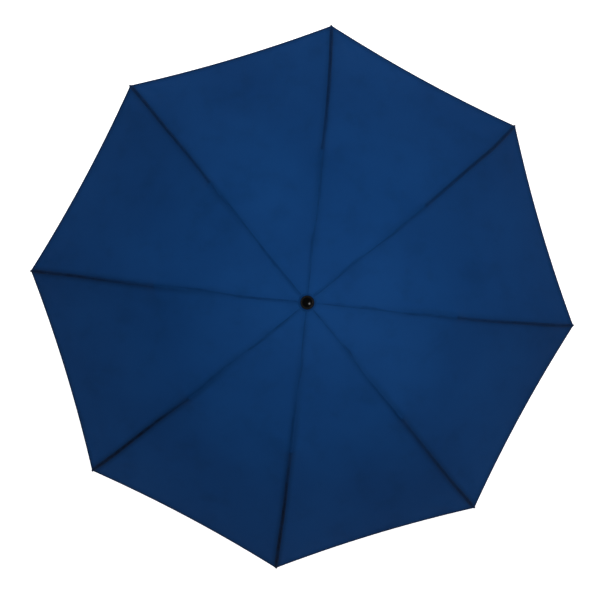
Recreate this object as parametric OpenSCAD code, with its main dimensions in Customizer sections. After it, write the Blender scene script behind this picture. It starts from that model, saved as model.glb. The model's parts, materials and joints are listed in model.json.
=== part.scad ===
// Two-fold umbrella, standing open on its own axis.
// The shaft lies on Z, the first rib points along +X, and the origin is the middle of the grip.

/* [Canopy frame] */
// Number of ribs, and of canopy panels
rib_count = 8; // [6:1:8]
// Inner rib, from its notch pivot to its elbow pivot
inner_len = 262; // [250:1:270]
// Slope of an inner rib below level
inner_slope = 11; // [10:0.5:12]
// Chord of an outer rib, from the elbow pivot to its end
outer_len = 267; // [240:1:280]
// Slope of an outer rib's chord below level
outer_slope = 30; // [27:0.5:33]
// Turn of an outer rib from one end to the other, in degrees
outer_bow = 10; // [8:0.5:10]
// Stretcher, from the rib pivot to the runner pivot
stretcher_len = 128; // [120:1:130]

/* [Rib sections] */
// Width of the inner rib's channel
channel_w = 5.2; // [5.2:0.1:6]
// Height of the inner rib's channel
channel_h = 4; // [4:0.1:5]
// Sheet thickness of the channel
channel_t = 0.7; // [0.5:0.1:0.8]
// Thickness of the flat stretcher
stretcher_t = 1.6; // [1.2:0.1:1.6]
// Height of the flat stretcher
stretcher_h = 2.3; // [2:0.1:2.4]
// Diameter of the outer rib's wire
outer_d = 2; // [1.6:0.1:2]
// Diameter of the tie rod
tie_d = 1; // [0.8:0.1:1]

/* [Shaft] */
// Outer diameter of the upper tube
tube_d = 11.6; // [11:0.1:12]
// Wall of both tubes
tube_wall = 0.6; // [0.4:0.1:0.8]
// Length of the upper tube below the notch pivots
upper_len = 272.5; // [272:0.5:276]
// Length of the lower tube above the handle
lower_len = 192; // [180:1:200]
// Stroke of the telescoping shaft
shaft_stroke = 155; // [140:1:158]

/* [Handle] */
// Diameter of the grip
grip_d = 29; // [26:0.5:34]
// Length of the plain part of the grip
grip_len = 70; // [60:1:90]

/* [Fabric] */
// Thickness of a canopy panel
fabric_t = 0.5; // [0.3:0.1:0.8]
// How far a panel sinks between its ribs at the hem
panel_sink = 8; // [0:0.5:12]
// How far the hem pulls in between two tips
hem_dip = 7; // [0:0.5:12]

/* [Hidden] */
$fn = 48;
running = 0.06;      // radial clearance of a pivot pin
lip = 0.01;          // how far a cutter passes a face

// Heights on the shaft
shoulder_h = 11;     // the grip's sloping shoulder
collar_h = 4;
short_gap = 2;       // left between the collar and the upper tube when the shaft is short
shoulder_z = grip_len / 2 + shoulder_h;
collar_top = shoulder_z + collar_h;
notch_z = collar_top + upper_len + short_gap + shaft_stroke;
runner_z = notch_z - 2 * stretcher_len * sin(inner_slope);

// The slotted discs of the notch and the runner, and the wire ring that each one holds
pivot_r = 10;        // from the shaft's axis to the wire
ring_wire_r = 0.6;
hub_r = tube_d / 2 + 1.4;
disc_r = 13.2;
disc_h = 6;
disc_edge = 1;       // chamfer of its rims
slot_w = 2;
slot_root = 1.6;     // wall left between the tube and a slot

// Pivots in a rib's own frame: x runs out along the inner rib, z stands off its fabric side
pin_r = 0.7;
pin_head = 0.4;      // how far a pin stands out of the channel
elbow = [inner_len, 3.4];
joint_r = 1.7;
through = 3;         // half length of a cutter that goes right through a rib
stretcher_angle = 180 + 2 * inner_slope;
bar_y = stretcher_t / 2;
tail = 6;            // from the stretcher's pivot to the tie rod's pin
tie_y = -1;
tie_t = 0.9;         // thickness of the tie rod's flat ends
tie_pin_r = 0.55;
tie_pin_reach = 0.6; // how far the tie rod's pins pass its middle
tie_eye_r = 1.3;
tie_from = [stretcher_len + tail * cos(stretcher_angle), tail * sin(stretcher_angle)];
outer_tail = 4.5;    // from the elbow to the tie rod's far pin
outer_tail_h = 2.4;
outer_pin_r = 0.5;
tie_to = [elbow[0] - outer_tail, elbow[1]];
tie_run = norm(tie_to - tie_from);
tie_slope = atan2(tie_to[1] - tie_from[1], tie_to[0] - tie_from[0]);
tie_travel = 2.8;    // how far the outer rib's pin runs in the rod's long eye
long_eye_w = 1.8;
long_eye_wall = 0.75;
ring_clear = 0.2;    // radial clearance of a stretcher's eye on the runner's curved wire

// The outer rib is an arc below its elbow tangent
bow_r = outer_len / (2 * sin(outer_bow / 2));
base_turn = outer_slope - outer_bow / 2 - inner_slope;
wire_start = 8;      // distance along the arc at which the wire begins
wire_y = 0.75;
eye_from = 0.15;     // the flat eye of the outer rib lies from here
eye_to = 1.65;       // to here, beside the inner rib's ear
bow_len = bow_r * outer_bow * PI / 180;
tip_len = 9;
tip_r = 1.9;
tip_past = 2;        // how far a tip goes on past the end of its wire
tip_fit = 0.03;      // clearance round the wire

// Places one rib's frame: its notch pivot is the origin
module at_rib(k) {
    rotate([0, 0, (k - 1) * 360 / rib_count])
        translate([pivot_r, 0, notch_z])
            rotate([0, inner_slope, 0])
                children();
}

// A pin across the rib, from y = y0 to y = y1
module cross_pin(x, z, r, y0, y1) {
    translate([x, y1, z])
        rotate([90, 0, 0])
            cylinder(r = r, h = y1 - y0);
}

// A plate whose outline is drawn in the rib's x-z plane, from y = y0 to y = y1
module rib_plate(y0, y1) {
    translate([0, y1, 0])
        rotate([90, 0, 0])
            linear_extrude(y1 - y0)
                children();
}

// The outline of a bar with round ends
module bar_outline(x0, x1, z, h) {
    translate([x0, z - h / 2]) square([x1 - x0, h]);
    translate([x0, z]) circle(h / 2);
    translate([x1, z]) circle(h / 2);
}

// ---- Inner rib ----

web_from = 6;
web_to = inner_len - 14;
neck_w = 1.6;
neck_h = 3.4;
neck_root = 5;       // length of the neck's solid root inside the channel
tie_slot_from = stretcher_len + 36;
tie_slot_w = 1.5;

module channel() {
    half_w = channel_w / 2;
    difference() {
        translate([web_from, -half_w, -channel_h / 2])
            cube([web_to - web_from, channel_w, channel_h]);
        translate([web_from - lip, -half_w + channel_t, -channel_h / 2 - lip])
            cube([inner_len, channel_w - 2 * channel_t, channel_h - channel_t + lip]);
        translate([tie_slot_from, tie_y - tie_slot_w / 2, 0])
            cube([inner_len, tie_slot_w, channel_h]);
    }
}

module inner_rib(k) {
    half_w = channel_w / 2;
    color("silver")
    at_rib(k) difference() {
        union() {
            channel();
            // neck and eye that turn in the notch
            rib_plate(-neck_w / 2, neck_w / 2)
                bar_outline(0, web_from + neck_root - 1, 0, neck_h);
            translate([web_from, -half_w + channel_t / 2, -channel_h / 2])
                cube([neck_root, channel_w - channel_t, channel_h - channel_t / 2]);
            // one ear carries the elbow
            rib_plate(half_w - channel_t, half_w)
                polygon([[web_to - 6, -channel_h / 2], [web_to - 6, channel_h / 2],
                         [elbow[0] - joint_r, elbow[1] + 0.6], [elbow[0], elbow[1] + joint_r - lip],
                         [elbow[0] + joint_r - lip, elbow[1]], [elbow[0], -channel_h / 2]]);
            rib_plate(half_w - channel_t, half_w)
                translate(elbow) circle(joint_r);
            cross_pin(stretcher_len, 0, pin_r, -half_w - pin_head, half_w + pin_head);
            cross_pin(elbow[0], elbow[1], pin_r, -0.1, half_w + pin_head);
        }
        cross_pin(0, 0, ring_wire_r + running, -through, through);
    }
}

// ---- Stretcher ----

module stretcher(k) {
    color("silver")
    at_rib(k) translate([stretcher_len, 0, 0]) rotate([0, -stretcher_angle, 0])
        difference() {
            union() {
                rib_plate(bar_y - stretcher_t / 2, bar_y + stretcher_t / 2)
                    bar_outline(0, stretcher_len, 0, stretcher_h);
                cross_pin(tail, 0, tie_pin_r, tie_y - tie_pin_reach, bar_y);
            }
            cross_pin(0, 0, pin_r + running, -through, through);
            cross_pin(stretcher_len, 0, ring_wire_r + ring_clear, -through, through);
        }
}

// ---- Tie rod ----

module tie_rod(k) {
    rod_from = tie_eye_r - 0.4;
    rod_to = tie_run - tie_travel - long_eye_w / 2 - long_eye_wall + 0.45;
    color("gainsboro")
    at_rib(k) translate([tie_from[0], 0, tie_from[1]]) rotate([0, -tie_slope, 0])
        difference() {
            union() {
                rib_plate(tie_y - tie_t / 2, tie_y + tie_t / 2) circle(tie_eye_r);
                rib_plate(tie_y - tie_t / 2, tie_y + tie_t / 2)
                    bar_outline(tie_run - tie_travel, tie_run, 0, long_eye_w + 2 * long_eye_wall);
                translate([rod_from, tie_y, 0]) rotate([0, 90, 0])
                    cylinder(d = tie_d, h = rod_to - rod_from);
            }
            cross_pin(0, 0, tie_pin_r + running, -through, through);
            rib_plate(-through, through) bar_outline(tie_run - tie_travel, tie_run, 0, long_eye_w);
        }
}

// ---- Outer rib and its tip ----

module at_outer(k) {
    at_rib(k) translate([elbow[0], 0, elbow[1]]) rotate([0, base_turn, 0]) children();
}

module outer_rib(k) {
    start_turn = wire_start / bow_r * 180 / PI;
    color("dimgray")
    at_outer(k) union() {
        difference() {
            union() {
                rib_plate(eye_from, eye_to) {
                    circle(joint_r);
                    bar_outline(0, wire_start + 7, 0, outer_d);
                }
                // tail that the tie rod works, turned to lie level with the inner rib
                rotate([0, -base_turn, 0]) {
                    rib_plate(eye_from, eye_to) bar_outline(-outer_tail, 0, 0, outer_tail_h);
                    cross_pin(-outer_tail, 0, outer_pin_r, tie_y - tie_pin_reach, eye_from + 0.05);
                }
            }
            cross_pin(0, 0, pin_r + running, -through, through);
        }
        translate([0, wire_y, -bow_r]) rotate([90, 0, 0])
            rotate([0, 0, 90 - outer_bow])
                rotate_extrude(angle = outer_bow - start_turn, $fn = 96)
                    translate([bow_r, 0]) circle(d = outer_d, $fn = 24);
    }
}

module rib_tip(k) {
    color("black")
    at_outer(k) translate([0, wire_y, -bow_r]) rotate([0, outer_bow, 0]) translate([0, 0, bow_r])
        rotate([0, 90, 0]) difference() {
            union() {
                translate([0, 0, tip_past - tip_len]) cylinder(r = tip_r, h = tip_len);
                translate([0, 0, tip_past]) sphere(tip_r);
            }
            translate([0, 0, tip_past - tip_len - lip])
                cylinder(r = outer_d / 2 + tip_fit, h = tip_len - tip_past + lip + tip_fit);
        }
}

// ---- Canopy ----

// The ridge of the fabric over a rib, as [radius, height], for t from 0 at the cap to 2 at the tip
ridge_clear = 2.5;   // from the outer rib's middle to the fabric at the elbow
tip_clear = 2.8;     // and at the tip
ridge_hub = [7, notch_z + 4.6];
function rib_point(p) = [
    pivot_r + p[0] * cos(inner_slope) + p[1] * sin(inner_slope),
    notch_z - p[0] * sin(inner_slope) + p[1] * cos(inner_slope)];
function outer_point(s, off) =
    let (turn = s / bow_r * 180 / PI, r = bow_r + off)
    let (q = [r * sin(turn), r * cos(turn) - bow_r])
    rib_point([elbow[0] + q[0] * cos(base_turn) + q[1] * sin(base_turn),
               elbow[1] - q[0] * sin(base_turn) + q[1] * cos(base_turn)]);
function ridge(t) =
    t < 1 ? let (far = outer_point(0, ridge_clear)) ridge_hub + (far - ridge_hub) * t
          : outer_point((t - 1) * bow_len, ridge_clear + (tip_clear - ridge_clear) * (t - 1));

half_panel = 180 / rib_count;
panel_edge = 0.15;   // half the gap between two panels over a rib
along = 14;          // squares of a panel's mesh, along the ribs
across = 6;          // and across
// A point of panel k's lower face: t along the ribs, v from -1 on rib k to 1 on rib k + 1
function panel_point(k, t, v) =
    let (middle = 1 - v * v, reach = t - hem_dip / bow_len * middle * t * t / 4)
    let (p = ridge(reach), half = p[0] * sin(half_panel) - panel_edge)
    let (mid = (k - 0.5) * 360 / rib_count, out = p[0] * cos(half_panel), side = v * half)
    [out * cos(mid) - side * sin(mid), out * sin(mid) + side * cos(mid),
     p[1] - panel_sink * middle * t * t / 4];
function grid(i, j, top) = (top ? (along + 1) * (across + 1) : 0) + i * (across + 1) + j;
function quad(a, b, c, d) = [[a, b, c], [a, c, d]];

module canopy_panel(k) {
    lower = [for (i = [0:along]) for (j = [0:across])
             panel_point(k, 2 * i / along, 2 * j / across - 1)];
    upper = [for (p = lower) p + [0, 0, fabric_t]];
    faces = concat(
        [for (i = [0:along - 1]) for (j = [0:across - 1]) for (f = quad(
            grid(i, j, true), grid(i, j + 1, true), grid(i + 1, j + 1, true), grid(i + 1, j, true))) f],
        [for (i = [0:along - 1]) for (j = [0:across - 1]) for (f = quad(
            grid(i, j, false), grid(i + 1, j, false), grid(i + 1, j + 1, false), grid(i, j + 1, false))) f],
        [for (i = [0:along - 1]) for (f = quad(
            grid(i, 0, false), grid(i, 0, true), grid(i + 1, 0, true), grid(i + 1, 0, false))) f],
        [for (i = [0:along - 1]) for (f = quad(grid(i, across, false), grid(i + 1, across, false),
            grid(i + 1, across, true), grid(i, across, true))) f],
        [for (j = [0:across - 1]) for (f = quad(
            grid(0, j, false), grid(0, j + 1, false), grid(0, j + 1, true), grid(0, j, true))) f],
        [for (j = [0:across - 1]) for (f = quad(grid(along, j, false), grid(along, j, true),
            grid(along, j + 1, true), grid(along, j + 1, false))) f]);
    color("#12335e")
        polyhedron(concat(lower, upper), faces, convexity = 6);
}

// ---- Shaft ----

module tube(d, z0, z1) {
    translate([0, 0, z0]) difference() {
        cylinder(d = d, h = z1 - z0);
        translate([0, 0, -1]) cylinder(d = d - 2 * tube_wall, h = z1 - z0 + 2);
    }
}

tube_gap = 0.16;     // between the tubes, on the diameter
lower_d = tube_d - 2 * tube_wall - tube_gap;
tube_seat = 12;      // height of the lower tube's end above the grip's lower end
cap_z = notch_z + 5.4;
cap_socket = 4;      // how far the upper tube goes into the cap

module lower_tube() {
    color("gray") tube(lower_d, -grip_len / 2 + tube_seat, collar_top + lower_len);
}

module upper_tube() {
    color("dimgray") tube(tube_d, notch_z - upper_len, cap_z + cap_socket);
}

notch_neck = 9;      // how far the notch's hub goes down below its pivots

// The wire ring that the ribs or the stretchers turn on
module ring_of_wire() {
    rotate_extrude() translate([pivot_r, 0]) circle(ring_wire_r, $fn = 24);
}

// A slotted disc: one slot for each rib, offset sideways by slot_y
module slotted_disc(z, slot_y, below) {
    translate([0, 0, z]) difference() {
        rotate_extrude() polygon([
            [tube_d / 2, -below], [hub_r, -below], [hub_r, -disc_h / 2 - disc_edge],
            [disc_r - disc_edge, -disc_h / 2], [disc_r, -disc_h / 2 + disc_edge],
            [disc_r, disc_h / 2 - disc_edge], [disc_r - disc_edge, disc_h / 2],
            [tube_d / 2, disc_h / 2]]);
        for (k = [0:rib_count - 1]) rotate([0, 0, k * 360 / rib_count])
            translate([tube_d / 2 + slot_root, slot_y - slot_w / 2, -disc_h / 2 - 2 * disc_edge])
                cube([disc_r, slot_w, disc_h + 4 * disc_edge]);
        ring_of_wire();
    }
}

module top_notch() {
    color("#1b1c1f") slotted_disc(notch_z, 0, notch_neck);
}

module notch_wire() {
    color("silver") translate([0, 0, notch_z]) ring_of_wire();
}

cap_r = 12.2;
cap_rim = 0.9;       // half height of the cap's edge band
cap_edge = 0.4;
cap_h = 7.5;

module ferrule_cap() {
    crown = cap_h - cap_rim;
    crown_r = (cap_r * cap_r + crown * crown) / (2 * crown);
    color("black") translate([0, 0, cap_z]) difference() {
        rotate_extrude($fn = 96) union() {
            polygon([[0, 0], [tube_d / 2, 0], [cap_r - cap_edge, -cap_rim], [cap_r, -cap_rim + cap_edge],
                     [cap_r, cap_rim], [0, cap_rim]]);
            intersection() {
                translate([0, cap_h - crown_r]) circle(crown_r, $fn = 96);
                square([cap_r, cap_h + 1]);
            }
        }
        translate([0, 0, -lip]) cylinder(d = tube_d, h = cap_socket + lip);
    }
}

// ---- Runner ----

runner_low = 16;     // from the pivots down to the sleeve's lower end
runner_neck = 5;
sleeve_wall = 5;
bore_gap = 0.3;
button_z = runner_z - 10;
button_r = 2.6;
button_len = 5;
button_travel = 1.6;

module runner() {
    color("#1b1c1f") difference() {
        union() {
            slotted_disc(runner_z, bar_y, runner_neck);
            translate([0, 0, runner_z - runner_low])
                cylinder(r = tube_d / 2 + sleeve_wall, h = runner_low - runner_neck);
        }
        translate([0, 0, runner_z - runner_low - 1])
            cylinder(r = tube_d / 2 + bore_gap, h = runner_low + disc_h + 2);
        translate([tube_d / 2 - 2, 0, button_z]) rotate([0, 90, 0])
            cylinder(r = button_r + running, h = 12);
    }
}

module runner_wire() {
    color("silver") translate([0, 0, runner_z]) ring_of_wire();
}

module runner_button() {
    color("dimgray") translate([tube_d / 2 + bore_gap + button_travel + 0.4, 0, button_z])
        rotate([0, 90, 0]) cylinder(r = button_r, h = button_len);
}

// ---- Handle ----

collar_r = grip_d / 2 - 5;
collar_edge = 1.5;

module handle_grip() {
    r = grip_d / 2;
    color("#202124") difference() {
        rotate_extrude() union() {
            translate([0, -grip_len / 2]) square([r, grip_len]);
            polygon([[0, grip_len / 2], [r, grip_len / 2], [r - 1.5, grip_len / 2 + 4],
                     [collar_r + 0.5, shoulder_z], [0, shoulder_z]]);
        }
        translate([0, 0, -grip_len / 2 + tube_seat])
            cylinder(d = lower_d, h = grip_len + 2 * shoulder_h);
    }
}

module handle_collar() {
    color("silver") translate([0, 0, shoulder_z]) difference() {
        rotate_extrude() polygon([[0, 0], [collar_r, 0], [collar_r, collar_h - collar_edge],
                                  [collar_r - collar_edge, collar_h], [0, collar_h]]);
        translate([0, 0, -1]) cylinder(d = lower_d, h = collar_h + 2);
    }
}

end_len = 12;
end_round = 4;       // rounding of the handle's lower edge
strap_hole_r = 2.2;
strap_hole_up = 5;   // height of the strap hole above the lower end

module handle_cap() {
    r = grip_d / 2 - 0.6;
    color("#101113") translate([0, 0, -grip_len / 2 - end_len]) difference() {
        rotate_extrude() union() {
            translate([0, end_round]) square([r, end_len - end_round]);
            square([r - end_round, end_len]);
            translate([r - end_round, end_round]) circle(end_round);
        }
        // cross hole for a wrist strap
        translate([0, r + 1, strap_hole_up]) rotate([90, 0, 0])
            cylinder(r = strap_hole_r, h = 2 * r + 2);
    }
}

handle_grip();
handle_cap();
handle_collar();
lower_tube();
upper_tube();
top_notch();
notch_wire();
ferrule_cap();
runner();
runner_wire();
runner_button();
for (k = [1:rib_count]) {
    inner_rib(k);
    stretcher(k);
    tie_rod(k);
    outer_rib(k);
    rib_tip(k);
    canopy_panel(k);
}
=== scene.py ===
import json
import math

import bpy
import numpy as np
from mathutils import Matrix, Vector

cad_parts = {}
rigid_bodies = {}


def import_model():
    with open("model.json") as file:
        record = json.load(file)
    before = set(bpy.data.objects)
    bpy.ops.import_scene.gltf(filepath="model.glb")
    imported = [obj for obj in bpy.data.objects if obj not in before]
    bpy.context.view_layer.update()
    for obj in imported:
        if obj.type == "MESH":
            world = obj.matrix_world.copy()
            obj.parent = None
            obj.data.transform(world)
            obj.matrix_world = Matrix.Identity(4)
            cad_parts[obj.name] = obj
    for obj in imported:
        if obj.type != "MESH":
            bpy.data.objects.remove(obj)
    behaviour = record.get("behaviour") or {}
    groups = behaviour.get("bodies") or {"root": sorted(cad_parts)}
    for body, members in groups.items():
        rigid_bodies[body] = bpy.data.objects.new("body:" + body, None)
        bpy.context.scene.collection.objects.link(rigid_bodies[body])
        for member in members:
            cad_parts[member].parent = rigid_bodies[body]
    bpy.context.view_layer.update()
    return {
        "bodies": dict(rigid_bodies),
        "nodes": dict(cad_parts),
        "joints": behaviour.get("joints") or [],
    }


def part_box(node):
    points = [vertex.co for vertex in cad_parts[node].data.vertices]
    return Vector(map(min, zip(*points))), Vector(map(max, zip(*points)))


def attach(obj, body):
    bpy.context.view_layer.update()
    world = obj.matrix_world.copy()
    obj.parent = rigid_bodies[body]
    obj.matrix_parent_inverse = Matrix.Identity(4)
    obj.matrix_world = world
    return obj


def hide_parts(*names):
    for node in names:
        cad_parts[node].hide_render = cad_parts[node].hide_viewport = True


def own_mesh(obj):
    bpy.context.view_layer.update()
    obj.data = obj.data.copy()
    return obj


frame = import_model()

# ---- Sizes and places, in metres, from the frame ----

MM = 0.001
JOINTS = {joint["name"]: joint for joint in frame["joints"]}
RIBS = range(1, 1 + sum(name.startswith("inner_rib_") for name in frame["bodies"]))
SECTOR = 2 * math.pi / len(RIBS)
HALF = SECTOR / 2


def pivot(joint):
    """A hinge of rib 1, as (distance from the shaft, height)."""
    x, _, z = JOINTS[joint]["pos_m"]
    return np.array([x, z])


NOTCH = pivot("canopy_fold")
RIB_MIDDLE = pivot("stretcher_hinge_1")
ELBOW = pivot("elbow_hinge_1")
TIP_LOW, TIP_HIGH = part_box("rib_tip_1")
FLOOR_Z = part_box("handle_cap")[0].z

# The outer rib is a wire on a slight arc, which runs from the elbow to its far end.
WIRE_R = 1.0 * MM
WIRE_BOW = math.radians(10)
WIRE_END_SLOPE = math.radians(35)


def wire_end():
    """The middle of the outer wire's far end, found from its box and the slope it ends at."""
    low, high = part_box("outer_rib_1")
    return np.array([high.x - WIRE_R * math.sin(WIRE_END_SLOPE), low.z + WIRE_R * math.cos(WIRE_END_SLOPE)])


CHORD = wire_end() - ELBOW
CHORD_SLOPE = math.atan2(-CHORD[1], CHORD[0])
BOW_R = np.linalg.norm(CHORD) / (2 * math.sin(WIRE_BOW / 2))
BOW_LEN = BOW_R * WIRE_BOW
BASE_SLOPE = CHORD_SLOPE - WIRE_BOW / 2

# ---- The canopy's surface ----
# t runs from 0 under the cap, through 1 at the elbows, to 2 at the hem. v runs from 0 on a rib to 1 halfway
# to the next one. Lengths along the fabric are measured on the ridge over a rib.

HUB = np.array([7 * MM, NOTCH[1] + 4.8 * MM])     # where the ridges start, as (distance, height)
CLEAR_ELBOW = 2.5 * MM      # from the wire's middle up to the fabric
CLEAR_TIP = 2.8 * MM
RIDGE_ROUNDING = 0.05       # how far along t the bend at the elbow is spread, on a rib
MIDDLE_ROUNDING = 0.42      # and halfway between two ribs
SINK = 7 * MM               # how much lower the hem is halfway between two ribs
HEM_DIP = 8.5 * MM          # how far the hem curves in there
HEM_FOLD_W = 9 * MM
HEM_ROLL = 0.35 * MM

# How far a seam strays sideways from its rib. The whole cover also sits a little off the ribs, square to one
# direction.
STRAY_AT_TURN = 1.5 * MM
STRAY_PAST_ELBOW = 1.3 * MM
STRAY_PULLED = 1.9 * MM
STRAY_UNEVEN = 0.6 * MM
PULL_SQUARE_TO = math.radians(46)

# Heights of the small lifts and puckers.
ELBOW_LIFT = 2.2 * MM
ELBOW_LIFT_REACH = 11 * MM
RIDGE_LIFT = 0.25 * MM
RIDGE_LIFT_OUTER = 0.35 * MM     # added past the elbow
PUCKER = 0.16 * MM
SCALLOP = 0.14 * MM
CORNER_FAN = 0.35 * MM


def outer_ridge(t):
    """Points over the outer wire, for an array of t from 1 to 2."""
    turn = (t - 1) * WIRE_BOW
    radius = BOW_R + CLEAR_ELBOW + (CLEAR_TIP - CLEAR_ELBOW) * (t - 1)
    along = radius * np.sin(turn)
    off = radius * np.cos(turn) - BOW_R
    c, s = math.cos(BASE_SLOPE), math.sin(BASE_SLOPE)
    return np.stack([ELBOW[0] + along * c + off * s, ELBOW[1] - along * s + off * c], -1)


def smoothed(t, values, half_width):
    """The running mean of values over t, in a window that closes up at both ends."""
    step = t[1] - t[0]
    total = np.concatenate([[0], np.cumsum(values)])
    index = np.arange(len(t))
    reach = np.minimum(np.minimum(index, len(t) - 1 - index), int(round(half_width / step)))
    return (total[index + reach + 1] - total[index - reach]) / (2 * reach + 1)


TABLE = np.linspace(0, 2, 1601)
FOLD_POINT = outer_ridge(np.array([1.0]))[0]
raw_ridge = np.where((TABLE < 1)[:, None], HUB + (FOLD_POINT - HUB) * TABLE[:, None],
                     outer_ridge(np.maximum(TABLE, 1)))
RIDGE_R = raw_ridge[:, 0]
RIDGE_Z = smoothed(TABLE, raw_ridge[:, 1], RIDGE_ROUNDING)
MIDDLE_Z = smoothed(TABLE, raw_ridge[:, 1], MIDDLE_ROUNDING) - SINK * (TABLE / 2) ** 1.5
LENGTH = np.concatenate([[0], np.cumsum(np.hypot(np.diff(RIDGE_R), np.diff(RIDGE_Z)))])
HEM_AT = float(LENGTH[-1])
ELBOW_AT = float(np.interp(1.0, TABLE, LENGTH))
SEAM_TURNS_AT = float(np.interp(RIB_MIDDLE[0], RIDGE_R, LENGTH)) + 20 * MM     # its allowance changes sides


def belly(v):
    """How much of a panel's sag is reached at v."""
    return 1 - (1 - v) ** 2


def bump(distance, width):
    return np.exp(-(distance / width) ** 2)


def fade(distance, width):
    """0 at no distance, rising to 1 at the width given."""
    return np.clip(distance / width, 0, 1)


def surface(rib, side, t, v):
    """Points of the fabric beside a rib, in the row frame; t and v are arrays of one shape."""
    reach = t - HEM_DIP / BOW_LEN * belly(v) * (t / 2) ** 2
    r = np.interp(reach, TABLE, RIDGE_R)
    z = np.interp(reach, TABLE, RIDGE_Z)
    z = z + (np.interp(reach, TABLE, MIDDLE_Z) - z) * belly(v)
    across = r * math.cos(HALF) * math.sin(HALF) * v
    length = np.interp(reach, TABLE, LENGTH)
    out = r * (1 - math.sin(HALF) ** 2 * v)
    z = z + relief(rib, side, across, length, v)
    turn = (rib - 1) * SECTOR
    c, s = math.cos(turn), math.sin(turn)
    y = side * across + wander(rib, length) * (1 - v) ** 2
    return np.stack([out * c - y * s, out * s + y * c, z], -1)


def wander(rib, length):
    """How far a seam strays sideways from its rib: it is only tied to the rib here and there."""
    near_turn = bump(length - SEAM_TURNS_AT - 12 * MM, 32 * MM)
    past_elbow = fade(length - ELBOW_AT, 70 * MM)
    pulled = math.cos((rib - 1) * SECTOR - PULL_SQUARE_TO) * fade(length, 0.45 * HEM_AT)
    stray = -STRAY_AT_TURN * near_turn - STRAY_PAST_ELBOW * past_elbow - STRAY_PULLED * pulled
    uneven = STRAY_UNEVEN * np.sin(length / (37 * MM) + 2.3 * rib)
    return (stray + uneven) * fade(length, 40 * MM) * fade(HEM_AT - length, 70 * MM)


def relief(rib, side, across, length, v):
    """Small lifts and puckers of the fabric: over the ribs, at the elbows, and along the sewn edges."""
    hem = HEM_AT - length
    own = 1 - v ** 4      # what differs between the two sides of a panel dies away at its middle
    phase = 1.7 * rib + 0.9 * side

    at_elbow = bump(length - ELBOW_AT - 2 * MM, ELBOW_LIFT_REACH) * bump(across, ELBOW_LIFT_REACH)
    on_ridge = (RIDGE_LIFT + RIDGE_LIFT_OUTER * fade(length - ELBOW_AT, 20 * MM)) * bump(across, 3.2 * MM)

    pucker = np.sin(length / (5.3 * MM) + phase) * np.sin(length / (23 * MM) + 2 * phase)
    beside_seam = pucker * bump(across - 8 * MM, 9 * MM) * fade(length, 40 * MM)

    scallop = np.sin(across / (4.1 * MM) + phase) * np.sin(across / (17 * MM) + phase)
    along_hem = scallop * bump(hem - 9 * MM, 10 * MM) * fade(across, 12 * MM)

    fan = np.sin(10 * np.arctan2(across, hem + 12 * MM) + phase)
    in_corner = fan * bump(np.hypot(across, hem) - 45 * MM, 40 * MM) * fade(hem, 30 * MM)

    sewn = PUCKER * beside_seam + SCALLOP * along_hem + CORNER_FAN * in_corner
    return ELBOW_LIFT * at_elbow + on_ridge + own * sewn


def surface_normal(rib, side, t, v):
    """Unit normals of the surface, the same on both sides of every line where two pieces meet."""
    step = 1e-3
    low_t, high_t = np.maximum(t - step, 0), np.minimum(t + step, 2)
    low_v, high_v = np.maximum(v - step, 0), np.minimum(v + step, 1)
    along = surface(rib, side, high_t, v) - surface(rib, side, low_t, v)
    across = surface(rib, side, t, high_v) - surface(rib, side, t, low_v)
    n = np.cross(along, across) * side
    middle = (rib - 1) * SECTOR + side * HALF
    m = np.array([-math.sin(middle), math.cos(middle), 0])
    on_middle = (v > 1 - 1e-6)[..., None]
    n = np.where(on_middle, n - (n @ m)[..., None] * m, n)
    return n / np.linalg.norm(n, axis=-1, keepdims=True)


# Each half panel is cut in two along a straight line that runs sideways from the elbow and leans a little
# towards the hub, because that is where the fabric doubles back on itself when the umbrella folds.
CUT_LEAN = 0.078


def cut_t(v):
    """The t at which the fold line crosses each v."""
    r = FOLD_POINT[0] / (1 - math.sin(HALF) ** 2 * v + CUT_LEAN * math.cos(HALF) * math.sin(HALF) * v)
    reach = np.interp(r, RIDGE_R, TABLE)
    t = reach
    for _ in range(6):      # how far the fabric is drawn in depends on t itself, and settles in a few rounds
        t = reach + HEM_DIP / BOW_LEN * belly(v) * (t / 2) ** 2
    return t


# ---- Meshes ----

def new_object(name, points, faces, material):
    mesh = bpy.data.meshes.new(name)
    mesh.from_pydata([tuple(p) for p in points], [], faces)
    mesh.validate()
    mesh.polygons.foreach_set("use_smooth", [True] * len(mesh.polygons))
    mesh.update()
    obj = bpy.data.objects.new(name, mesh)
    bpy.context.scene.collection.objects.link(obj)
    mesh.materials.append(material)
    return obj


def grid_faces(rows, columns, flip):
    faces = []
    for i in range(rows - 1):
        for j in range(columns - 1):
            a = i * columns + j
            quad = (a, a + columns, a + columns + 1, a + 1)
            faces.append(quad if flip else quad[::-1])
    return faces


def set_uv(mesh, name, values):
    """One UV pair for each vertex, in metres."""
    layer = mesh.uv_layers.new(name=name)
    index = np.empty(len(mesh.loops), np.int32)
    mesh.loops.foreach_get("vertex_index", index)
    layer.data.foreach_set("uv", values[index].astype(np.float32).ravel())


def ring_faces(rings, around):
    """Faces between rings of points that close on themselves."""
    faces = []
    for i in range(rings - 1):
        for j in range(around):
            a, b = i * around + j, i * around + (j + 1) % around
            faces.append((a, a + around, b + around, b))
    return faces


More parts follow.
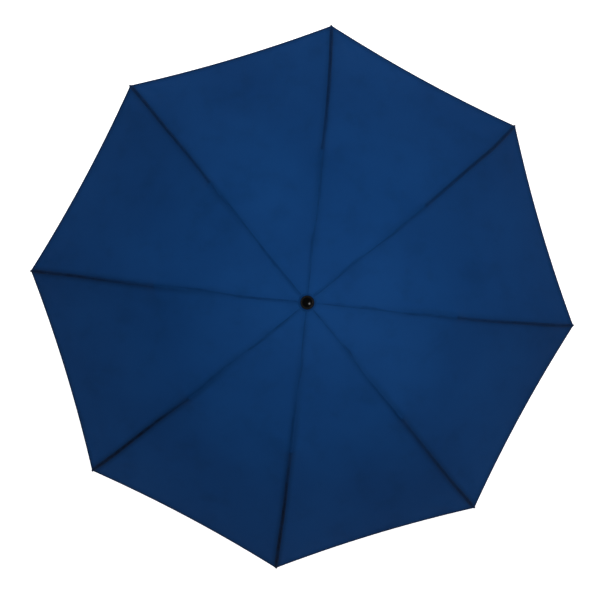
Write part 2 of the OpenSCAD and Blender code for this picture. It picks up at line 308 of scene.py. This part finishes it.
def thread_along(name, path, radius, material, sides=8):
    """A round thread along a list of points, closed at both ends."""
    count = len(path)
    points, faces = [], []
    for i, p in enumerate(path):
        along = Vector(path[min(i + 1, count - 1)] - path[max(i - 1, 0)]).normalized()
        first = along.orthogonal() if i == 0 else first - along * first.dot(along)
        first = first.normalized()
        second = along.cross(first)
        for k in range(sides):
            a = 2 * math.pi * k / sides
            points.append(Vector(p) + (first * math.cos(a) + second * math.sin(a)) * radius)
    for i in range(count - 1):
        for k in range(sides):
            a, b = i * sides + k, i * sides + (k + 1) % sides
            faces.append((a, b, b + sides, a + sides))
    faces.append(tuple(range(sides))[::-1])
    faces.append(tuple((count - 1) * sides + k for k in range(sides)))
    return new_object(name, points, faces, material)


def join(objects, name):
    """One object from several that share a material."""
    points, faces = [], []
    for obj in objects:
        start = len(points)
        points += [v.co.copy() for v in obj.data.vertices]
        faces += [tuple(start + i for i in p.vertices) for p in obj.data.polygons]
    material = objects[0].data.materials[0]
    for obj in objects:
        bpy.data.meshes.remove(obj.data)
    return new_object(name, points, faces, material)


# ---- Materials ----

class Nodes:
    """Shorthand for building a material's nodes."""

    def __init__(self, name, color, roughness, **sockets):
        self.material = bpy.data.materials.new(name)
        self.material.use_nodes = True
        self.tree = self.material.node_tree
        self.shader = self.tree.nodes["Principled BSDF"]
        self.shader.inputs["Base Color"].default_value = (*color, 1)
        self.shader.inputs["Roughness"].default_value = roughness
        for socket, value in sockets.items():
            self.shader.inputs[socket.replace("_", " ")].default_value = value

    def add(self, kind, **settings):
        node = self.tree.nodes.new("ShaderNode" + kind)
        for key, value in settings.items():
            setattr(node, key, value)
        return node

    def link(self, source, target):
        self.tree.links.new(source, target)

    def feed(self, value, socket):
        if isinstance(value, bpy.types.NodeSocket):
            self.link(value, socket)
        else:
            socket.default_value = value

    def math(self, operation, a, b=0.0, c=0.0):
        node = self.add("Math", operation=operation)
        for value, socket in zip((a, b, c), node.inputs):
            self.feed(value, socket)
        return node.outputs[0]

    def noise(self, vector, scale, detail=3.0, roughness=0.5):
        node = self.add("TexNoise")
        self.link(vector, node.inputs["Vector"])
        node.inputs["Scale"].default_value = scale
        node.inputs["Detail"].default_value = detail
        node.inputs["Roughness"].default_value = roughness
        return node.outputs["Fac"]

    def ramp(self, value, low, high, to_low=0.0, to_high=1.0):
        """A smooth step from to_low, where the value is low, to to_high, where it is high."""
        node = self.add("MapRange", interpolation_type="SMOOTHSTEP")
        for given, socket in zip((value, low, high, to_low, to_high), node.inputs):
            self.feed(given, socket)
        return node.outputs[0]

    def mix(self, factor, a, b):
        """A colour between a and b. The node's colour sockets are its inputs 6 and 7 and its output 2."""
        node = self.add("Mix", data_type="RGBA")
        self.feed(factor, node.inputs["Factor"])
        for color, socket in ((a, node.inputs[6]), (b, node.inputs[7])):
            self.feed(color if isinstance(color, bpy.types.NodeSocket) else (*color, 1), socket)
        return node.outputs[2]

    def object_coordinates(self):
        return self.add("TexCoord").outputs["Object"]

    def split(self, vector):
        node = self.add("SeparateXYZ")
        self.link(vector, node.inputs[0])
        return tuple(node.outputs)

    def uv(self, name):
        return self.split(self.add("UVMap", uv_map=name).outputs[0])[:2]

    def toward(self, vector, angle):
        """How far each point lies towards one level direction."""
        node = self.add("VectorMath", operation="DOT_PRODUCT")
        self.link(vector, node.inputs[0])
        node.inputs[1].default_value = (math.cos(angle), math.sin(angle), 0)
        return node.outputs["Value"]

    def bump(self, height, distance, strength=1.0, below=None):
        node = self.add("Bump")
        node.inputs["Strength"].default_value = strength
        node.inputs["Distance"].default_value = distance
        self.link(height, node.inputs["Height"])
        if below:
            self.link(below, node.inputs["Normal"])
        return node.outputs[0]

    def set(self, socket, value):
        self.link(value, self.shader.inputs[socket])


NAVY = (0.0043, 0.0303, 0.1110)
NAVY_LIGHT = (0.0051, 0.0355, 0.1270)
# Darker tone for uneven dye and wear, and also the colour that painted shade blends towards beside the seams
# and on the hem fold.
NAVY_DARK = (0.0016, 0.0140, 0.0520)
# Painted shade on the hem's outer edge.
HEM_EDGE_SHADE = (0.0007, 0.0052, 0.0200)
NAVY_STITCH = (0.0060, 0.0380, 0.1150)
NAVY_TINT = (0.14, 0.38, 1, 1)
SHEEN_TINT = (0.12, 0.35, 1, 1)
SHADED_SIDE_TOWARD = math.radians(246)     # the side of the canopy away from the light, where the painted shade at and beside the outer seams is darkest
THREAD_PITCH = 0.55 * MM
STITCH = 3.2 * MM


def weave_relief(m, across, along, below=None):
    """Plain weave: warp and weft threads pass over each other in turn."""
    weft = m.math("SINE", m.math("MULTIPLY", along, 2 * math.pi / THREAD_PITCH))
    warp = m.math("SINE", m.math("MULTIPLY", across, 2 * math.pi / THREAD_PITCH))
    return m.bump(m.math("MULTIPLY", weft, warp), 0.05 * MM, 0.5, below)


def stitch_dashes(m, along):
    """1 on each stitch of a row, 0 in the gaps."""
    return m.math("LESS_THAN", m.math("FRACT", m.math("DIVIDE", along, STITCH)), 0.62)


def allowance_and_shade_band(m, place, across, seam, hem):
    """1 on a band beside the seam, on one side as far as the rib's middle, then on the other: the seam
    allowance, which is raised a little, and painted shade on the shaded side of the seam's ridge.
    """
    turned = m.math("GREATER_THAN", hem, HEM_AT - SEAM_TURNS_AT)
    side = m.math("GREATER_THAN", across, 0.0)
    on_side = m.math("COMPARE", turned, side, 0.5)
    from_turn = m.math("ABSOLUTE", m.math("SUBTRACT", hem, HEM_AT - SEAM_TURNS_AT))
    narrowed = m.ramp(from_turn, 0.0, 45 * MM, -2.6 * MM, 1.6 * MM)
    edge = m.math("MULTIPLY_ADD", m.noise(place, 45.0, 2.0), 5 * MM, narrowed)
    within = m.ramp(m.math("SUBTRACT", seam, edge), -1.4 * MM, 1.4 * MM, 1.0, 0.0)
    return m.math("MULTIPLY", on_side, within)


def fabric_material(name):
    """Navy polyester. UV map Weave is (across, along) and Edges is (from the seam, from the hem)."""
    m = Nodes(name, NAVY, 0.5, Sheen_Weight=0.05, Sheen_Roughness=0.45, Sheen_Tint=SHEEN_TINT,
              Specular_IOR_Level=0.02, Specular_Tint=NAVY_TINT)
    across, along = m.uv("Weave")
    seam, hem = m.uv("Edges")
    place = m.object_coordinates()

    # colour: slightly uneven dye, with streaks along the threads
    cloudy = m.noise(place, 5.0, 4.0, 0.55)
    color = m.mix(m.ramp(cloudy, 0.35, 0.65), NAVY, NAVY_LIGHT)
    color = m.mix(m.ramp(m.noise(place, 22.0, 3.0, 0.6), 0.45, 0.75, 0.0, 0.22), color, NAVY_DARK)
    streak_place = m.add("Mapping")
    streak_place.inputs["Scale"].default_value = (2600, 40, 1)
    m.link(m.add("UVMap", uv_map="Weave").outputs[0], streak_place.inputs["Vector"])
    streak = m.noise(streak_place.outputs[0], 1.0, 2.0)
    color = m.mix(m.math("MULTIPLY", streak, 0.22), color, NAVY_DARK)

    # the seam allowance, two layers of cloth raised a little, and painted shade along the shaded side of the
    # seam's ridge
    allowance_and_shade = allowance_and_shade_band(m, place, across, seam, hem)
    patchy = m.ramp(m.noise(place, 28.0, 2.0), 0.3, 0.6, 0.22, 0.65)
    toward_hub = m.ramp(hem, HEM_AT - 130 * MM, HEM_AT - 20 * MM, 1.0, 0.4)
    color = m.mix(m.math("MULTIPLY", allowance_and_shade, m.math("MULTIPLY", patchy, toward_hub)), color, NAVY_DARK)

    # painted shade beside the seams, where the cloth dips, most of all past the elbows and on the side of the
    # canopy away from the light; then a broad, faint painted shade near the ribs past the hub
    out_along = m.ramp(hem, HEM_AT - ELBOW_AT - 90 * MM, HEM_AT - 60 * MM, 0.5, 0.12)
    strength = m.math("MULTIPLY", out_along, m.ramp(m.toward(place, SHADED_SIDE_TOWARD), -0.35, 0.35, 0.7, 1.5))
    color = m.mix(m.math("MULTIPLY", strength, m.ramp(seam, 2 * MM, 13.5 * MM, 1.0, 0.0)), color, NAVY_DARK)
    past_hub = m.ramp(hem, HEM_AT - 220 * MM, HEM_AT - 60 * MM, 0.1, 0.0)
    wide_seam_shade = m.math("MULTIPLY", m.ramp(seam, 5 * MM, 60 * MM, 1.0, 0.0), past_hub)
    color = m.mix(wide_seam_shade, color, NAVY_DARK)

    # a folded and stitched hem, with painted shade over the fold and darker painted shade along the edge
    # where it rolls under
    on_hem = m.ramp(hem, HEM_FOLD_W, HEM_FOLD_W + 0.6 * MM, 1.0, 0.0)
    hem_edge_shade = m.ramp(hem, 1.6 * MM, 4.6 * MM, 1.0, 0.0)
    color = m.mix(m.math("MULTIPLY", on_hem, 0.3), color, NAVY_DARK)
    color = m.mix(m.math("MULTIPLY", hem_edge_shade, 0.75), color, HEM_EDGE_SHADE)
    in_row = m.math("COMPARE", hem, HEM_FOLD_W - 1.6 * MM, 0.3 * MM)
    stitches = m.math("MULTIPLY", stitch_dashes(m, across), in_row)
    color = m.mix(m.math("MULTIPLY", stitches, 0.6), color, NAVY_STITCH)
    m.set("Base Color", color)

    # relief: soft wrinkles, sewn edges, weave
    soft = m.bump(m.noise(place, 38.0, 3.0, 0.6), 0.9 * MM, 0.2)
    ridges = m.math("MAXIMUM", on_hem, allowance_and_shade)
    sewn = m.bump(m.math("SUBTRACT", ridges, m.math("MULTIPLY", stitches, 0.8)), 0.2 * MM, 0.7, soft)
    m.set("Normal", weave_relief(m, across, along, sewn))
    m.set("Roughness", m.math("MULTIPLY_ADD", cloudy, 0.16, 0.46))
    return m.material


def seam_material(name, color, far_shade_color, shaded_side_color=None):
    """The sewn band over a rib, with painted shade of its crease that darkens towards its far end, and, given
    a third colour, darkens more on the side of the canopy away from the light. UV map Weave is (across,
    along).
    """
    m = Nodes(name, color, 0.6, Sheen_Weight=0.1, Sheen_Tint=SHEEN_TINT,
              Specular_IOR_Level=0.03, Specular_Tint=NAVY_TINT)
    across, along = m.uv("Weave")
    place = m.object_coordinates()
    worn = m.noise(place, 60.0, 3.0)
    far = m.ramp(along, ELBOW_AT - 20 * MM, ELBOW_AT + 170 * MM, 0.0, 1.0)
    shade = m.mix(far, color, far_shade_color)
    if shaded_side_color:
        depth = m.math("MULTIPLY", m.ramp(m.toward(place, SHADED_SIDE_TOWARD), 0.08, 0.34),
                       m.ramp(along, ELBOW_AT - 10 * MM, ELBOW_AT + 120 * MM, 0.25, 1.0))
        shade = m.mix(depth, shade, shaded_side_color)
    shade = m.mix(m.ramp(worn, 0.35, 0.7, 0.0, 0.5), shade, NAVY_DARK)
    in_row = m.math("COMPARE", m.math("ABSOLUTE", across), 1.1 * MM, 0.24 * MM)
    stitches = m.math("MULTIPLY", stitch_dashes(m, along), in_row)
    m.set("Base Color", m.mix(m.math("MULTIPLY", stitches, 0.5), shade, NAVY_DARK))
    m.set("Roughness", m.math("MULTIPLY_ADD", worn, 0.2, 0.5))
    m.set("Normal", weave_relief(m, across, along, m.bump(stitches, 0.25 * MM, 0.8)))
    return m.material


def gloss_black_material(name):
    """Polished black plastic with faint smudges."""
    m = Nodes(name, (0.0004, 0.0004, 0.0005), 0.16, Specular_IOR_Level=0.06)
    place = m.object_coordinates()
    smudge = m.noise(place, 160.0, 4.0)
    m.set("Roughness", m.ramp(smudge, 0.3, 0.75, 0.16, 0.28))
    m.set("Normal", m.bump(m.noise(place, 900.0, 2.0), 0.02 * MM, 0.25))
    return m.material


def moulded_material(name, color=(0.012, 0.012, 0.013), rough=0.42, grain=1400.0):
    """Plastic, enamel or thread: a fine grain, worn a little lighter in patches."""
    m = Nodes(name, color, rough)
    place = m.object_coordinates()
    wear = m.noise(place, 90.0, 5.0, 0.6)
    lighter = tuple(c * 2.1 + 0.004 for c in color)
    m.set("Base Color", m.mix(m.ramp(wear, 0.45, 0.8, 0.0, 0.5), color, lighter))
    m.set("Roughness", m.ramp(wear, 0.3, 0.7, rough - 0.06, rough + 0.16))
    m.set("Normal", m.bump(m.noise(place, grain, 2.0), 0.05 * MM, 0.35))
    return m.material


def grip_material(name):
    """Soft-touch grip with a fine diamond pattern pressed into its plain length."""
    plain_end = 28 * MM
    groove_rise = 5.2 * MM
    grooves_around = 16.0
    m = Nodes(name, (0.011, 0.011, 0.013), 0.6, Sheen_Weight=0.15)
    place = m.object_coordinates()
    x, y, z = m.split(place)
    turns = m.math("MULTIPLY", m.math("ARCTAN2", y, x), grooves_around)
    rise = m.math("MULTIPLY", z, 2 * math.pi / groove_rise)
    one = m.math("SINE", m.math("ADD", turns, rise))
    two = m.math("SINE", m.math("SUBTRACT", turns, rise))
    diamond = m.math("MULTIPLY", m.ramp(one, -0.9, -0.2), m.ramp(two, -0.9, -0.2))
    plain = m.ramp(m.math("ABSOLUTE", z), plain_end, plain_end + 1 * MM, 1.0, 0.0)
    pressed = m.bump(m.math("MULTIPLY", diamond, plain), 0.35 * MM, 0.9)
    m.set("Normal", m.bump(m.noise(place, 2200.0, 2.0), 0.04 * MM, 0.3, pressed))
    wear = m.noise(place, 60.0, 5.0, 0.6)
    m.set("Roughness", m.ramp(wear, 0.3, 0.75, 0.48, 0.72))
    m.set("Base Color", m.mix(m.ramp(wear, 0.5, 0.8, 0.0, 0.4), (0.010, 0.010, 0.012), (0.024, 0.024, 0.027)))
    return m.material


def metal_material(name, color, rough, stretch):
    """Drawn or plated metal: streaks finer one way, and a little dulling in patches."""
    m = Nodes(name, color, rough, Metallic=1.0)
    place = m.object_coordinates()
    mapping = m.add("Mapping")
    mapping.inputs["Scale"].default_value = stretch
    m.link(place, mapping.inputs["Vector"])
    streak = m.noise(mapping.outputs[0], 1.0, 3.0)
    patch = m.noise(place, 110.0, 5.0, 0.7)
    dull = tuple(c * 0.72 for c in color)
    m.set("Base Color", m.mix(m.ramp(patch, 0.4, 0.75, 0.0, 0.22), color, dull))
    m.set("Roughness", m.math("MULTIPLY_ADD", streak, 0.2, m.ramp(patch, 0.35, 0.7, rough - 0.08, rough)))
    m.set("Normal", m.bump(streak, 0.02 * MM, 0.3))
    return m.material


FABRIC = fabric_material("navy_fabric")
# The seam bands' darker colours are painted shade of the crease over each rib; the outer bands darken more
# past the elbow, and their third colour is the painted shade on the side away from the light.
SEAM_INNER = seam_material("navy_seam_inner", (0.0027, 0.0235, 0.0860), (0.0024, 0.0208, 0.0765))
SEAM_OUTER = seam_material("navy_seam_outer", (0.0017, 0.0150, 0.0560), (0.0010, 0.0080, 0.0300),
                           (0.0001, 0.0008, 0.0035))
# The rosette is a real piece of gathered cloth; its colour, a little darker than the canopy, is painted shade
# for the dark ring round the cap.
ROSETTE = seam_material("navy_rosette", (0.0026, 0.0225, 0.0830), (0.0026, 0.0225, 0.0830))
CAP_BLACK = gloss_black_material("gloss_black")
NYLON = moulded_material("black_nylon")
GRIP = grip_material("soft_grip")
STEEL = metal_material("zinc_steel", (0.60, 0.61, 0.63), 0.32, (400, 400, 400))
CHROME = metal_material("plated_tube", (0.40, 0.41, 0.43), 0.2, (900, 900, 25))
BLACK_TUBE = moulded_material("black_enamel", (0.014, 0.014, 0.016), 0.28, 500.0)
WIRE_BLACK = moulded_material("black_wire", (0.018, 0.018, 0.02), 0.34, 900.0)
BUTTON = moulded_material("grey_button", (0.16, 0.16, 0.17), 0.4, 1200.0)
THREAD = moulded_material("navy_thread", (0.006, 0.028, 0.085), 0.75, 3000.0)

CAD_MATERIALS = {
    "handle_grip": GRIP, "handle_cap": NYLON, "handle_collar": CHROME, "lower_tube": CHROME,
    "upper_tube": BLACK_TUBE, "top_notch": NYLON, "notch_wire": STEEL, "ferrule_cap": CAP_BLACK,
    "runner": NYLON, "runner_wire": STEEL, "runner_button": BUTTON, "inner_rib": STEEL,
    "stretcher": STEEL, "tie_rod": STEEL, "outer_rib": WIRE_BLACK, "rib_tip": CAP_BLACK}
for node, obj in frame["nodes"].items():
    kind = node.rstrip("0123456789").rstrip("_")
    if kind in CAD_MATERIALS:
        for slot in obj.material_slots:
            slot.material = CAD_MATERIALS[kind]

# ---- Canopy fabric ----

FABRIC_ROWS, FABRIC_COLUMNS = 44, 33
HEM_BACK_ROWS = 4

STRIP_ROWS, STRIP_COLUMNS = 90, 11
STRIP_HALF_OUTER = 2.7 * MM
STRIP_HALF_INNER = 1.25 * MM
STRIP_HEIGHT_OUTER = 0.5 * MM
STRIP_HEIGHT_INNER = 0.3 * MM
STRIP_SINK = 0.12 * MM      # the strip's edges lie this far under the fabric's face

THREAD_R = 0.3 * MM
THREAD_TURNS = 3
THREAD_STEP = 0.8 * MM
INNER_TIES = (0.2, 0.42)    # places along the rib; past its middle the folded stretcher needs the room
OUTER_TIES = (0.3, 0.62, 0.9)

ROSETTE_INNER_R = 8 * MM
ROSETTE_OUTER_R = 16.2 * MM
ROSETTE_FOLDS = 24


def denser_near_zero(count, power):
    return np.linspace(0, 1, count) ** power


def hem_roll(edge, normal, before):
    """Rows that carry the hem round its edge and back underneath it."""
    outward = edge - before
    outward /= np.linalg.norm(outward, axis=-1, keepdims=True)
    rows, row_normals = [], []
    for angle in (60, 120):
        a = math.radians(angle)
        rows.append(edge + HEM_ROLL * (outward * math.sin(a) + normal * (math.cos(a) - 1)))
        row_normals.append(outward * math.sin(a) + normal * math.cos(a))
    for back in np.linspace(0, HEM_FOLD_W, HEM_BACK_ROWS):
        rows.append(edge - outward * back - normal * 2 * HEM_ROLL)
        row_normals.append(-normal)
    return np.array(rows), np.array(row_normals)


def hem_uv(weave, edges, rolled_rows):
    """The UV rows of the turned hem: the cloth goes on along its length, and back from the hem's edge."""
    back = np.array([0.0] * (rolled_rows - HEM_BACK_ROWS) + list(np.linspace(0, HEM_FOLD_W, HEM_BACK_ROWS)))
    level = np.zeros((rolled_rows, weave.shape[1]))
    back = level + back[:, None]
    more_weave = np.stack([level + weave[-1, :, 0], weave[-1, :, 1] + back], -1)
    more_edges = np.stack([level + edges[-1, :, 0], back], -1)
    return np.concatenate([weave, more_weave]), np.concatenate([edges, more_edges])


def fabric_half(rib, side, outer):
    """A quarter of the fabric over one rib: on one side of it, and inside or outside its elbow."""
    part = "outer" if outer else "inner"
    v = denser_near_zero(FABRIC_COLUMNS, 1.6)
    from_cut = denser_near_zero(FABRIC_ROWS, 1.25)[:, None]
    cut = cut_t(v)
    t = cut + (2 - cut) * from_cut if outer else cut * (1 - from_cut[::-1])
    v = np.broadcast_to(v, t.shape)
    points = surface(rib, side, t, v)
    normals = surface_normal(rib, side, t, v)
    length = np.interp(t, TABLE, LENGTH)
    half_width = np.interp(t, TABLE, RIDGE_R) * math.sin(HALF)
    weave = np.stack([side * half_width * (1 - v), length], -1)
    edges = np.stack([half_width * v, HEM_AT - length], -1)
    if outer:
        more_points, more_normals = hem_roll(points[-1], normals[-1], points[-2])
        points = np.concatenate([points, more_points])
        normals = np.concatenate([normals, more_normals])
        weave, edges = hem_uv(weave, edges, len(more_points))

    rows, columns = points.shape[:2]
    name = f"canopy_{rib}_{'left' if side > 0 else 'right'}_{part}"
    obj = new_object(name, points.reshape(-1, 3), grid_faces(rows, columns, side > 0), FABRIC)
    set_uv(obj.data, "Weave", weave.reshape(-1, 2))
    set_uv(obj.data, "Edges", edges.reshape(-1, 2))
    obj.data.normals_split_custom_set_from_vertices([tuple(n) for n in normals.reshape(-1, 3)])

    panel = rib if side > 0 else (rib - 2) % len(RIBS) + 1
    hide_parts(f"canopy_panel_{panel}")
    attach(obj, f"{part}_rib_{rib}")
    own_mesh(obj)


def strip_half_width(rib, t, length, outer):
    if not outer:
        uneven = 0.2 * MM * np.sin(length / (19 * MM) + 1.7 * rib)
        return STRIP_HALF_INNER + uneven + 0.6 * MM * np.clip(2.2 * t - 1.2, 0, 1)
    from_start = length - ELBOW_AT
    half = STRIP_HALF_OUTER + 0.8 * MM * (t - 1) + 1.0 * MM * bump(from_start - 4 * MM, 6 * MM)
    rounded_end = np.sqrt(np.clip((from_start + 1 * MM) / (4 * MM), 0.02, 1))
    return half * rounded_end


def seam_strip(rib, outer):
    """The sewn band over one rib, inside or outside its elbow."""
    part = "outer" if outer else "inner"
    low, high = (1.0, 2.0) if outer else (0.04, 1.0)
    t = np.linspace(low, high, STRIP_ROWS)[:, None] + np.zeros(STRIP_COLUMNS)
    length = np.interp(t, TABLE, LENGTH)
    x = np.linspace(-1, 1, STRIP_COLUMNS) + np.zeros((STRIP_ROWS, 1))
    across = x * strip_half_width(rib, t, length, outer)
    v = np.abs(across) / (np.interp(t, TABLE, RIDGE_R) * math.cos(HALF) * math.sin(HALF))
    lift = (STRIP_HEIGHT_OUTER if outer else STRIP_HEIGHT_INNER) * (1 - x ** 4) - STRIP_SINK
    on_left = (x > 0)[..., None]
    points = np.where(on_left, surface(rib, 1, t, v), surface(rib, -1, t, v))
    up = np.where(on_left, surface_normal(rib, 1, t, v), surface_normal(rib, -1, t, v))
    points = points + up * lift[..., None]
    obj = new_object(f"seam_{rib}_{part}", points.reshape(-1, 3), grid_faces(STRIP_ROWS, STRIP_COLUMNS, True),
                     SEAM_OUTER if outer else SEAM_INNER)
    set_uv(obj.data, "Weave", np.stack([across, length], -1).reshape(-1, 2))
    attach(obj, f"{part}_rib_{rib}")
    return obj


def thread_ties(rib, outer):
    """The turns of thread that hold the canopy to one rib, from beneath, at a few places."""
    part = "outer" if outer else "inner"
    start, end = (ELBOW_AT, HEM_AT) if outer else (0.0, ELBOW_AT)
    half_w, depth = (1.5 * MM, 3.4 * MM) if outer else (3.0 * MM, 6.6 * MM)
    turn = (rib - 1) * SECTOR
    sideways = np.array([-math.sin(turn), math.cos(turn), 0.0])
    ties = []
    for share in (OUTER_TIES if outer else INNER_TIES):
        length = np.array(start + share * (end - start))
        t = np.interp(length, LENGTH, TABLE)
        here, ahead = (surface(rib, 1, t + step, np.array(0.0)) for step in (0.0, 0.01))
        along = (ahead - here) / np.linalg.norm(ahead - here)
        up = np.cross(along, sideways)
        up *= np.sign(up[2])
        stray = float(wander(rib, length))
        top = here - sideways * stray - up * (0.3 * abs(stray) + 1.2 * MM)
        a = np.linspace(0, 2 * math.pi * THREAD_TURNS, 20 * THREAD_TURNS)
        path = (top + np.outer(a / (2 * math.pi) - THREAD_TURNS / 2, along) * THREAD_STEP
                + np.outer(half_w * np.cos(a), sideways)
                + np.outer(depth / 2 * (np.sin(a) - 1), up))
        ties.append(thread_along(f"tie_{len(ties)}", path, THREAD_R, THREAD))
    obj = join(ties, f"ties_{rib}_{part}")
    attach(obj, f"{part}_rib_{rib}")
    return obj


def hub_rosette():
    """The small round of gathered cloth that shows round the cap."""
    rings, around = 12, 8 * ROSETTE_FOLDS
    r = np.linspace(ROSETTE_INNER_R, ROSETTE_OUTER_R, rings)[:, None] + np.zeros(around)
    a = np.linspace(0, 2 * math.pi, around, endpoint=False) + np.zeros((rings, 1))
    from_rib = np.abs(a - np.round(a / SECTOR) * SECTOR)
    spread = (r - ROSETTE_INNER_R) / (ROSETTE_OUTER_R - ROSETTE_INNER_R)
    z = np.interp(r / np.cos(from_rib), RIDGE_R, RIDGE_Z) + 0.7 * MM
    z = z + 0.25 * MM * np.sin(a * ROSETTE_FOLDS) * spread
    z = z - 0.55 * MM * np.clip(spread - 0.85, 0, 1) / 0.15     # the edge turns down onto the canopy
    points = np.stack([r * np.cos(a), r * np.sin(a), z], -1).reshape(-1, 3)
    obj = new_object("hub_rosette", points, ring_faces(rings, around), ROSETTE)
    set_uv(obj.data, "Weave", points[:, :2])
    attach(obj, "upper_shaft")


for rib in RIBS:
    for outer in (False, True):
        sewn = [seam_strip(rib, outer), thread_ties(rib, outer)]
        fabric_half(rib, -1, outer)
        fabric_half(rib, 1, outer)
hub_rosette()

# ---- Camera, floor and light ----
# Directions in the picture are angles from its right-hand side, turning left.

PHOTO_TURN = math.radians(-5.87)     # where the first rib points
PHOTO_TILT = math.radians(3.0)       # how far the camera stands off straight above
PHOTO_LEAN = math.radians(129)       # the side it stands off to
CAMERA_FAR = 3.4
VIEW_WIDTH = 2.194 * TIP_HIGH.x
VIEW_RIGHT = -0.00583                # how far the picture's middle lies off the shaft, in picture widths
VIEW_UP = -0.003

FLOOR_FLAT_R = 6.0
FLOOR_BEND_R = 2.0
WALL_HEIGHT = 3.2
FLOOR_GLOW = 0.8
WALL_GLOW = 0.3                      # reached this far above the floor:
WALL_GLOW_FROM = 2.2
WORLD_GLOW = 0.35


def picture_to_row(angle):
    """A direction in the picture, as a level direction in the row's frame."""
    turn = angle - PHOTO_TURN
    return Vector((math.cos(turn), math.sin(turn), 0))


def aim_camera():
    right, up = picture_to_row(0), picture_to_row(math.pi / 2)
    away = picture_to_row(PHOTO_LEAN) * math.sin(PHOTO_TILT) + Vector((0, 0, math.cos(PHOTO_TILT)))
    away = away.normalized()
    across = up.cross(away).normalized()
    camera = bpy.data.cameras.new("camera")
    camera.sensor_width = 36
    camera.lens = camera.sensor_width * CAMERA_FAR / VIEW_WIDTH
    camera.dof.use_dof = False
    camera.clip_end = 50
    obj = bpy.data.objects.new("camera", camera)
    bpy.context.scene.collection.objects.link(obj)
    target = Vector((0, 0, TIP_LOW.z)) + right * VIEW_RIGHT * VIEW_WIDTH + up * VIEW_UP * VIEW_WIDTH
    obj.matrix_world = Matrix((across, away.cross(across), away)).transposed().to_4x4()
    obj.location = target + away * CAMERA_FAR
    bpy.context.scene.camera = obj


def softbox(name, picture_angle, off_zenith, distance, size, power):
    """A round softbox above the canopy, placed by two angles in degrees and its distance from the notch."""
    light = bpy.data.lights.new(name, "AREA")
    light.shape = "DISK"
    light.size = size
    light.energy = power
    obj = bpy.data.objects.new(name, light)
    bpy.context.scene.collection.objects.link(obj)
    level = picture_to_row(math.radians(picture_angle)) * math.sin(math.radians(off_zenith))
    away = level + Vector((0, 0, math.cos(math.radians(off_zenith))))
    obj.location = Vector((0, 0, NOTCH[1])) + away * distance
    obj.rotation_euler = (-away).to_track_quat("-Z", "Y").to_euler()
    return obj


def make_floor():
    """A pale floor that curves up into a low wall far away, so that no horizon shows."""
    m = Nodes("pale_floor", (0.9, 0.9, 0.9), 0.9, Emission_Color=(1, 1, 1, 1))
    height = m.split(m.object_coordinates())[2]
    m.set("Emission Strength", m.ramp(height, FLOOR_Z, FLOOR_Z + WALL_GLOW_FROM, FLOOR_GLOW, WALL_GLOW))
    profile = [(1 * MM, FLOOR_Z), (FLOOR_FLAT_R, FLOOR_Z)]
    for step in range(1, 13):
        a = math.pi / 2 * step / 12
        rise = FLOOR_BEND_R * (1 - math.cos(a))
        profile.append((FLOOR_FLAT_R + FLOOR_BEND_R * math.sin(a), FLOOR_Z + rise))
    profile.append((FLOOR_FLAT_R + FLOOR_BEND_R, FLOOR_Z + WALL_HEIGHT))
    around = 96
    angles = [2 * math.pi * i / around for i in range(around)]
    points = [(r * math.cos(a), r * math.sin(a), z) for r, z in profile for a in angles]
    new_object("floor", points, ring_faces(len(profile), around), m.material)


def light_world():
    world = bpy.data.worlds.new("studio")
    world.use_nodes = True
    background = world.node_tree.nodes["Background"]
    background.inputs["Color"].default_value = (1, 1, 1, 1)
    background.inputs["Strength"].default_value = WORLD_GLOW
    bpy.context.scene.world = world


aim_camera()
make_floor()
light_world()
overhead = softbox("overhead", picture_angle=20, off_zenith=8, distance=0.7, size=0.5, power=4.4)
side_light = softbox("side", picture_angle=84, off_zenith=60, distance=2.0, size=0.8, power=13)
glint = softbox("glint", picture_angle=-29, off_zenith=33, distance=2.2, size=0.9, power=82)
overhead.visible_glossy = False
side_light.visible_glossy = False
glint.visible_diffuse = False
bpy.context.scene.view_settings.view_transform = "Standard"
